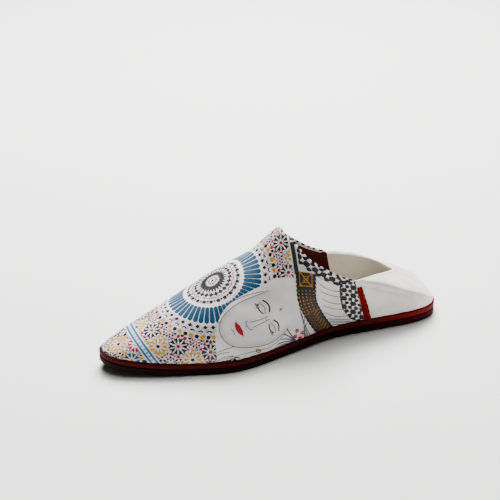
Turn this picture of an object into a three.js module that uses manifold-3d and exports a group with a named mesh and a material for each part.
// Backless babouche slipper, right foot, in printed leather. Millimetres, +Z up, toe towards -X,
// medial (big toe) side towards -Y, standing on Z = 0.
import * as THREE from 'three';
import { mergeVertices } from 'three/addons/utils/BufferGeometryUtils.js';
import Module from 'manifold-3d';

const wasm = await Module();
wasm.setup();

// Driving sizes of the last and of the shoe
const LENGTH = 284;
const HALF_BALL = 47;
const INSTEP_RISE = 83.7;
const COLLAR_RISE = 38;
const TOE_SPRING = 6.5;
const SPRING_RUN = 78;
const WAIST_LIFT = 1.2;
const SOLE_HEIGHT_FRONT = 9.6;
const SOLE_HEIGHT_HEEL = 11.2;
const OUTSOLE_SHARE = 0.52;
const SOLE_BEVEL = 1;
const UPPER_INSET = 1.2;
const UPPER_INSET_SIDE = 1.5;
const WALL = 2;
const TOE_BOX_EXTRA = 2.5;
const HEEL_SEAT_EXTRA = 4;
const NOSE_FADE = 60;
const RAND_BEVEL = 0.6;
const INSOLE_THICKNESS = 1.5;
const INSOLE_SHORT_TOE = 14;
const INSOLE_SHORT_HEEL = 9;
const INSOLE_NOSE = 6;
const INSOLE_CLEARANCE = 1.3;
const GAP = 0.3;

// Stations of the seams and of the collar, measured from the toe tip
const SEAM_TOP = 201.5;
const SEAM_FOOT = 211;
const COLLAR_BACK = 249;
const COLLAR_BOW = 0.14;
const CREASE_SHARE = 0.5;
const CREASE_ROUNDING = 0.08;
const ROOF_CROWN = 1.5;
const GORE_STATION = 152;
const GORE_WIDTH = 3.6;
const GORE_FOOT_HEIGHT = 64;
const GORE_CLEAR_OF_RIDGE = 5;
const SLOT_TALL = 60;
const STRIP_LAP = 0.6;
const STRIP_PROUD = 2.1;
const STRIP_RISE = 33;
const STRIP_WIDTH_TOP = 2.6;
const STRIP_WIDTH_FOOT = 5;

// Outline of the sole: turn runs 0 to 1 from toe tip to heel back, where station = length (1 - cos(pi turn)) / 2.
// medial and lateral are shares of the half ball width.
const OUTLINE = [
  { turn: 0.0, medial: 0.0, lateral: 0.0 },
  { turn: 0.1, medial: 0.3, lateral: 0.24 },
  { turn: 0.2, medial: 0.54, lateral: 0.47 },
  { turn: 0.3, medial: 0.765, lateral: 0.735 },
  { turn: 0.4, medial: 0.945, lateral: 0.93 },
  { turn: 0.5, medial: 0.78, lateral: 0.94 },
  { turn: 0.6, medial: 0.58, lateral: 0.8 },
  { turn: 0.7, medial: 0.6, lateral: 0.69 },
  { turn: 0.8, medial: 0.61, lateral: 0.65 },
  { turn: 0.9, medial: 0.455, lateral: 0.46 },
  { turn: 1.0, medial: 0.0, lateral: 0.0 },
];

// Height of the last above the sole: nose is the root of the distance from the upper's toe tip, rise is a share
// of the instep, and the two fullness columns are the powers of each side's section (2 is a round arch).
const LAST = [
  { station: 1.2, rise: 0.0, medialFullness: 2.0, lateralFullness: 2.0 },
  { station: 9, rise: 0.066, medialFullness: 2.0, lateralFullness: 2.0 },
  { station: 19, rise: 0.139, medialFullness: 2.0, lateralFullness: 2.0 },
  { station: 33, rise: 0.231, medialFullness: 2.0, lateralFullness: 2.0 },
  { station: 52, rise: 0.341, medialFullness: 2.0, lateralFullness: 2.0 },
  { station: 75, rise: 0.474, medialFullness: 2.0, lateralFullness: 2.0 },
  { station: 101, rise: 0.628, medialFullness: 1.93, lateralFullness: 1.93 },
  { station: 127, rise: 0.791, medialFullness: 1.8, lateralFullness: 1.77 },
  { station: 147.4, rise: 1.0, medialFullness: 1.7, lateralFullness: 1.45 },
  { station: 165, rise: 1.02, medialFullness: 2.6, lateralFullness: 1.6 },
  { station: 201, rise: 1.02, medialFullness: 4.0, lateralFullness: 1.7 },
  { station: 235, rise: 1.02, medialFullness: 3.5, lateralFullness: 2.5 },
  { station: 284, rise: 1.02, medialFullness: 3.0, lateralFullness: 3.0 },
];

// Topline of the vamp from the side seam over the tongue: angle up the section in degrees, and station
const TOPLINE = [
  { angle: 26.45, station: 201.5 },
  { angle: 30.8, station: 190 },
  { angle: 38.7, station: 176 },
  { angle: 51.3, station: 161 },
  { angle: 62.5, station: 155 },
  { angle: 70.9, station: 151 },
  { angle: 80, station: 148.3 },
  { angle: 90, station: 147.4 },
];

// Trodden-down heel piece: height of the side crease and of the middle ridge above the sole
const HEEL_FOLD = [
  { station: 201.5, crease: 38, ridge: 41 },
  { station: 222, crease: 32, ridge: 39.5 },
  { station: 238, crease: 25, ridge: 32.5 },
  { station: 249, crease: 20, ridge: 26 },
  { station: 261, crease: 14, ridge: 21.5 },
  { station: 272, crease: 7.5, ridge: 14 },
  { station: 278, crease: 3.5, ridge: 7 },
  { station: 282.8, crease: 0.8, ridge: 1.6 },
];

const MEDIAL = -1;
const LATERAL = 1;

const TOE_END = UPPER_INSET;
const HEEL_END = LENGTH - UPPER_INSET;

function clamp01(value) {
  return Math.min(1, Math.max(0, value));
}

function smoothStep(value) {
  const t = clamp01(value);
  return t * t * (3 - 2 * t);
}

// Cubic curve through the rows of a table, its slope at each row being that of the parabola through three rows
function curveThrough(rows, xKey, yKey, x, shape = (value) => value) {
  const at = rows.map((row) => shape(row[xKey]));
  const value = rows.map((row) => row[yKey]);
  const last = rows.length - 1;
  const step = (i) => at[i + 1] - at[i];
  const rate = (i) => (value[i + 1] - value[i]) / step(i);
  const middleSlope = (i) => (rate(i - 1) * step(i) + rate(i) * step(i - 1)) / (step(i - 1) + step(i));
  function slope(i) {
    if (i === 0) return 1.5 * rate(0) - 0.5 * middleSlope(1);
    if (i === last) return 1.5 * rate(last - 1) - 0.5 * middleSlope(last - 1);
    return middleSlope(i);
  }
  const place = Math.min(Math.max(shape(x), at[0]), at[last]);
  let i = 0;
  while (i < last - 1 && place > at[i + 1]) i += 1;
  const t = (place - at[i]) / step(i);
  const startValue = (2 * t ** 3 - 3 * t ** 2 + 1) * value[i];
  const startSlope = (t ** 3 - 2 * t ** 2 + t) * step(i) * slope(i);
  const endValue = (3 * t ** 2 - 2 * t ** 3) * value[i + 1];
  const endSlope = (t ** 3 - t ** 2) * step(i) * slope(i + 1);
  return startValue + startSlope + endValue + endSlope;
}

// The sole

function soleHalf(station, side) {
  const turn = Math.acos(1 - 2 * clamp01(station / LENGTH)) / Math.PI;
  return HALF_BALL * curveThrough(OUTLINE, 'turn', side === MEDIAL ? 'medial' : 'lateral', turn);
}

function springAt(station) {
  return TOE_SPRING * clamp01(1 - station / SPRING_RUN) ** 2;
}

function soleBottom(station) {
  const waist = clamp01((station - 0.46 * LENGTH) / (0.24 * LENGTH));
  return springAt(station) + WAIST_LIFT * Math.sin(Math.PI * waist) ** 2;
}

function soleHeight(station) {
  const share = smoothStep((station / LENGTH - 0.45) / 0.3);
  return SOLE_HEIGHT_FRONT + (SOLE_HEIGHT_HEEL - SOLE_HEIGHT_FRONT) * share;
}

function soleTop(station) {
  return springAt(station) + soleHeight(station);
}

// The last: half width at the foot of the upper, its rise, and its section

function footHalf(station, side) {
  const inner = (station - UPPER_INSET) * LENGTH / (LENGTH - 2 * UPPER_INSET);
  return soleHalf(inner, side) * (1 - UPPER_INSET_SIDE / HALF_BALL);
}

function lastRise(station) {
  const fromTip = (value) => Math.sqrt(Math.max(0, value - TOE_END));
  return INSTEP_RISE * curveThrough(LAST, 'station', 'rise', station, fromTip);
}

// Half width of the last at a height above the sole: a superellipse quarter with the side's fullness
function lastHalf(station, height, side) {
  const power = curveThrough(LAST, 'station', side === MEDIAL ? 'medialFullness' : 'lateralFullness', station);
  const share = clamp01(height / Math.max(lastRise(station), 1e-6));
  return footHalf(station, side) * (1 - share ** power) ** (1 / power);
}

function seamStation(height) {
  return SEAM_FOOT + (SEAM_TOP - SEAM_FOOT) * clamp01(height / COLLAR_RISE);
}

function toPoint(station, y, height) {
  return new THREE.Vector3(station - LENGTH / 2, y, height);
}

// A wall of thickness t takes t off a long reach r, and shrinks to nothing with it
function shrink(reach) {
  return reach <= 0 ? 0 : reach / (reach + WALL);
}

// The vamp's skin: angle climbs the section from 0 at the sole to 90 degrees at the ridge
function vampPoint(station, angle, side) {
  const height = lastRise(station) * Math.sin(THREE.MathUtils.degToRad(angle));
  const y = angle >= 90 ? 0 : lastHalf(station, height, side);
  return toPoint(station, side * y, soleTop(station) + height);
}

function vampLiningPoint(station, angle, side) {
  const fade = 1 - smoothStep((station - TOE_END) / NOSE_FADE);
  const source = Math.max(TOE_END, station - TOE_BOX_EXTRA * fade);
  const height = lastRise(source) * Math.sin(THREE.MathUtils.degToRad(angle));
  const y = angle >= 90 ? 0 : lastHalf(source, height, side) * shrink(footHalf(source, side));
  return toPoint(station, side * y, soleTop(station) + height * shrink(lastRise(source)));
}

function vampEnd(angle) {
  if (angle >= TOPLINE[0].angle) return curveThrough(TOPLINE, 'angle', 'station', angle);
  return seamStation(INSTEP_RISE * 1.02 * Math.sin(THREE.MathUtils.degToRad(angle)));
}

// The heel piece's section: climb runs 0 at the middle ridge, 0.5 at the crease, 1 at the sole
function heelProfile(station, climb, side) {
  const crease = curveThrough(HEEL_FOLD, 'station', 'crease', station);
  if (climb >= CREASE_SHARE) {
    const height = crease * (1 - climb) / (1 - CREASE_SHARE);
    return { y: lastHalf(station, height, side), height };
  }
  const across = climb / CREASE_SHARE;
  const ridge = curveThrough(HEEL_FOLD, 'station', 'ridge', station);
  return {
    y: lastHalf(station, crease, side) * across,
    height: crease + (ridge - crease) * (1 - across ** ROOF_CROWN),
  };
}

// The same section with its crease rounded by a parabola between the two slopes
function heelSection(station, climb, side) {
  const t = (CREASE_SHARE + CREASE_ROUNDING - climb) / (2 * CREASE_ROUNDING);
  if (t <= 0 || t >= 1) return heelProfile(station, climb, side);
  const below = heelProfile(station, CREASE_SHARE + CREASE_ROUNDING, side);
  const corner = heelProfile(station, CREASE_SHARE, side);
  const above = heelProfile(station, CREASE_SHARE - CREASE_ROUNDING, side);
  const mix = (key) => (1 - t) ** 2 * below[key] + 2 * t * (1 - t) * corner[key] + t ** 2 * above[key];
  return { y: mix('y'), height: mix('height') };
}

function heelPoint(station, climb, side) {
  const { y, height } = heelSection(station, climb, side);
  return toPoint(station, side * y, soleTop(station) + height);
}

function heelLiningPoint(station, climb, side) {
  const fade = 1 - smoothStep((HEEL_END - station) / NOSE_FADE);
  const source = Math.min(HEEL_END, station + HEEL_SEAT_EXTRA * fade);
  const { y, height } = heelSection(source, climb, side);
  const ridge = curveThrough(HEEL_FOLD, 'station', 'ridge', source);
  const drop = height * shrink(ridge);
  return toPoint(station, side * y * shrink(footHalf(source, side)), soleTop(station) + drop);
}

function heelStart(climb) {
  if (climb < CREASE_SHARE) {
    const inward = 1 - climb / CREASE_SHARE;
    const reach = inward + COLLAR_BOW * Math.sin(Math.PI * inward);
    return SEAM_TOP + GAP + (COLLAR_BACK - SEAM_TOP) * reach;
  }
  let station = SEAM_TOP;
  for (let round = 0; round < 4; round += 1) {
    const crease = curveThrough(HEEL_FOLD, 'station', 'crease', station);
    station = seamStation(crease * (1 - climb) / (1 - CREASE_SHARE)) + GAP;
  }
  return station;
}

// Closed bodies from rings and grids of points

function bodyFromTriangles(triangles) {
  const geometry = new THREE.BufferGeometry();
  const numbers = new Float32Array(triangles.flat().flatMap((point) => [point.x, point.y, point.z]));
  geometry.setAttribute('position', new THREE.BufferAttribute(numbers, 3));
  const merged = mergeVertices(geometry, 1e-4);
  const kept = [];
  const index = merged.getIndex().array;
  for (let i = 0; i < index.length; i += 3) {
    const [a, b, c] = [index[i], index[i + 1], index[i + 2]];
    if (a !== b && b !== c && c !== a) kept.push(a, b, c);
  }
  merged.setIndex(kept);
  return merged;
}

function addQuad(triangles, a, b, c, d) {
  triangles.push([a, b, c], [a, c, d]);
}

// A body carried through rings that share one number of points; ends of no width close by themselves
function loft(rings, capped = false) {
  const triangles = [];
  for (let i = 0; i + 1 < rings.length; i += 1) {
    const [ring, next] = [rings[i], rings[i + 1]];
    ring.forEach((point, k) => {
      const n = (k + 1) % ring.length;
      addQuad(triangles, point, ring[n], next[n], next[k]);
    });
  }
  if (capped) {
    const first = rings[0];
    const last = rings.at(-1);
    for (let k = 1; k + 1 < first.length; k += 1) {
      triangles.push([first[0], first[k + 1], first[k]], [last[0], last[k], last[k + 1]]);
    }
  }
  return bodyFromTriangles(triangles);
}

// A wall between an outer and an inner grid: row 0 of each is a pole, and the other three edges get rims
function wallBetween(outer, inner) {
  const triangles = [];
  const end = outer.length - 1;
  const side = outer[0].length - 1;
  for (let i = 0; i < end; i += 1) {
    for (let k = 0; k < side; k += 1) {
      addQuad(triangles, outer[i][k], outer[i + 1][k], outer[i + 1][k + 1], outer[i][k + 1]);
      addQuad(triangles, inner[i][k], inner[i][k + 1], inner[i + 1][k + 1], inner[i + 1][k]);
    }
    addQuad(triangles, inner[i][0], inner[i + 1][0], outer[i + 1][0], outer[i][0]);
    addQuad(triangles, outer[i][side], outer[i + 1][side], inner[i + 1][side], inner[i][side]);
  }
  for (let k = 0; k < side; k += 1) {
    addQuad(triangles, outer[end][k], inner[end][k], inner[end][k + 1], outer[end][k + 1]);
  }
  return bodyFromTriangles(triangles);
}

function range(from, to, steps) {
  return Array.from({ length: steps + 1 }, (_, i) => from + (to - from) * i / steps);
}

function stationsAlong(from, to, steps) {
  return range(0, Math.PI, steps).map((turn) => from + (to - from) * (1 - Math.cos(turn)) / 2);
}

// Columns of a skin: up the first side from sole to ridge, and down the other side
function overTheRidge(places, firstSide) {
  const up = places.map((place) => ({ side: firstSide, place }));
  const down = places.slice(0, -1).reverse().map((place) => ({ side: -firstSide, place }));
  return [...up, ...down];
}

// One skin of a half shell, its rows running from its pole at one end of the shoe to its free edge
function skin(columns, pole, edgeOf, pointOf, rows) {
  return range(0, Math.PI / 2, rows).map((turn) => columns.map(({ side, place }) => {
    if (turn === 0) return toPoint(pole, 0, soleTop(pole));
    const station = pole + (edgeOf(place) - pole) * (1 - Math.cos(turn));
    return pointOf(station, place, side);
  }));
}

// A level piece of the sole, with its lower edge cut back
function plate({ halfOf, bottomOf, topOf, bevel, from, to, steps }) {
  return loft(stationsAlong(from, to, steps).map((station) => {
    const low = bottomOf(station);
    const high = topOf(station);
    const medial = halfOf(station, MEDIAL);
    const lateral = halfOf(station, LATERAL);
    return [
      toPoint(station, -Math.max(0, medial - bevel), low),
      toPoint(station, Math.max(0, lateral - bevel), low),
      toPoint(station, lateral, low + bevel),
      toPoint(station, lateral, high),
      toPoint(station, -medial, high),
      toPoint(station, -medial, low + bevel),
    ];
  }));
}

function outsoleTop(station) {
  return soleBottom(station) + soleHeight(station) * OUTSOLE_SHARE;
}

function makeOutsole() {
  return plate({
    halfOf: soleHalf, bottomOf: soleBottom, topOf: outsoleTop, bevel: SOLE_BEVEL, from: 0, to: LENGTH, steps: 60,
  });
}

function makeRand() {
  const bottomOf = (station) => outsoleTop(station) + GAP;
  const topOf = (station) => soleTop(station) - GAP;
  return plate({ halfOf: soleHalf, bottomOf, topOf, bevel: RAND_BEVEL, from: 0, to: LENGTH, steps: 60 });
}

function makeInsole() {
  const from = TOE_END + INSOLE_SHORT_TOE;
  const to = HEEL_END - INSOLE_SHORT_HEEL;
  const rounded = (station) => Math.sqrt(clamp01((station - from) / INSOLE_NOSE) * clamp01((to - station) / INSOLE_NOSE));
  const halfOf = (station, side) => (footHalf(station, side) - WALL - INSOLE_CLEARANCE) * rounded(station);
  const topOf = (station) => soleTop(station) + INSOLE_THICKNESS;
  return plate({ halfOf, bottomOf: soleTop, topOf, bevel: GAP, from, to, steps: 44 });
}

function makeVampWall() {
  const seamTop = TOPLINE[0].angle;
  const columns = overTheRidge([...range(0, seamTop, 6), ...range(seamTop, 90, 15).slice(1)], MEDIAL);
  const outer = skin(columns, TOE_END, vampEnd, vampPoint, 27);
  const inner = skin(columns, TOE_END + TOE_BOX_EXTRA, vampEnd, vampLiningPoint, 27);
  return wallBetween(outer, inner);
}

function makeHeelPiece() {
  const low = CREASE_SHARE - CREASE_ROUNDING;
  const high = CREASE_SHARE + CREASE_ROUNDING;
  const climb = [...range(1, high, 5), ...range(high, low, 4).slice(1), ...range(low, 0, 7).slice(1)];
  const columns = overTheRidge(climb, LATERAL);
  const outer = skin(columns, HEEL_END, heelStart, heelPoint, 20);
  const inner = skin(columns, HEEL_END - HEEL_SEAT_EXTRA, heelStart, heelLiningPoint, 20);
  return wallBetween(outer, inner);
}

// A strip that stands on the side wall between two larger forms of the last, covering the seam
function makeStrip(side) {
  const rings = range(GAP, STRIP_RISE, 10).map((height) => {
    const front = seamStation(height) - STRIP_LAP;
    const width = STRIP_WIDTH_FOOT + (STRIP_WIDTH_TOP - STRIP_WIDTH_FOOT) * (height / STRIP_RISE) ** 2;
    const across = range(front, front + width, 2);
    const at = (proud) => (station) => {
      return toPoint(station, side * (lastHalf(station, height, side) + proud), soleTop(station) + height);
    };
    const ring = [...across.map(at(GAP)), ...across.reverse().map(at(STRIP_PROUD))];
    return side === MEDIAL ? ring.reverse() : ring;
  });
  return loft(rings, true);
}

// Cuts and joins

function toManifold(geometry) {
  const bare = geometry.clone();
  bare.deleteAttribute('normal');
  bare.deleteAttribute('uv');
  const merged = mergeVertices(bare, 1e-4);
  const vertProperties = new Float32Array(merged.getAttribute('position').array);
  const triVerts = new Uint32Array(merged.getIndex().array);
  return new wasm.Manifold(new wasm.Mesh({ numProp: 3, vertProperties, triVerts }));
}

function toGeometry(solid) {
  const mesh = solid.getMesh();
  const geometry = new THREE.BufferGeometry();
  geometry.setAttribute('position', new THREE.BufferAttribute(mesh.vertProperties, 3));
  geometry.setIndex(new THREE.BufferAttribute(mesh.triVerts, 1));
  return geometry;
}

// The slit beside the tongue on one side, from its foot up through the topline
function goreSlot(side, ease) {
  const depth = HALF_BALL;
  const box = new THREE.BoxGeometry(GORE_WIDTH - 2 * ease, depth, SLOT_TALL);
  const y = side * (depth / 2 + GORE_CLEAR_OF_RIDGE);
  box.translate(GORE_STATION - LENGTH / 2, y, GORE_FOOT_HEIGHT + ease + SLOT_TALL / 2);
  return toManifold(box);
}

const vampWall = toManifold(makeVampWall());
const vamp = vampWall.subtract(goreSlot(MEDIAL, 0)).subtract(goreSlot(LATERAL, 0));
const goreMedial = vampWall.intersect(goreSlot(MEDIAL, GAP));
const goreLateral = vampWall.intersect(goreSlot(LATERAL, GAP));

// The shoe

const slipper = new THREE.Group();

function addPiece(name, geometry, color, roughness) {
  const shaded = geometry.index ? geometry.toNonIndexed() : geometry;
  shaded.computeVertexNormals();
  const mesh = new THREE.Mesh(shaded, new THREE.MeshStandardMaterial({ color, roughness, metalness: 0 }));
  mesh.name = name;
  slipper.add(mesh);
}

addPiece('outsole', makeOutsole(), 0x4a2a1c, 0.6);
addPiece('rand', makeRand(), 0x6e0c0a, 0.5);
addPiece('insole', makeInsole(), 0xe6dccb, 0.7);
addPiece('vamp', toGeometry(vamp), 0xe8e6e2, 0.5);
addPiece('heel_quarter', makeHeelPiece(), 0xf0ece4, 0.5);
addPiece('gore_near', toGeometry(goreMedial), 0x15161a, 0.9);
addPiece('gore_far', toGeometry(goreLateral), 0x15161a, 0.9);
addPiece('strip_near', makeStrip(MEDIAL), 0xa80d0a, 0.95);
addPiece('strip_far', makeStrip(LATERAL), 0xa80d0a, 0.95);

export default slipper;
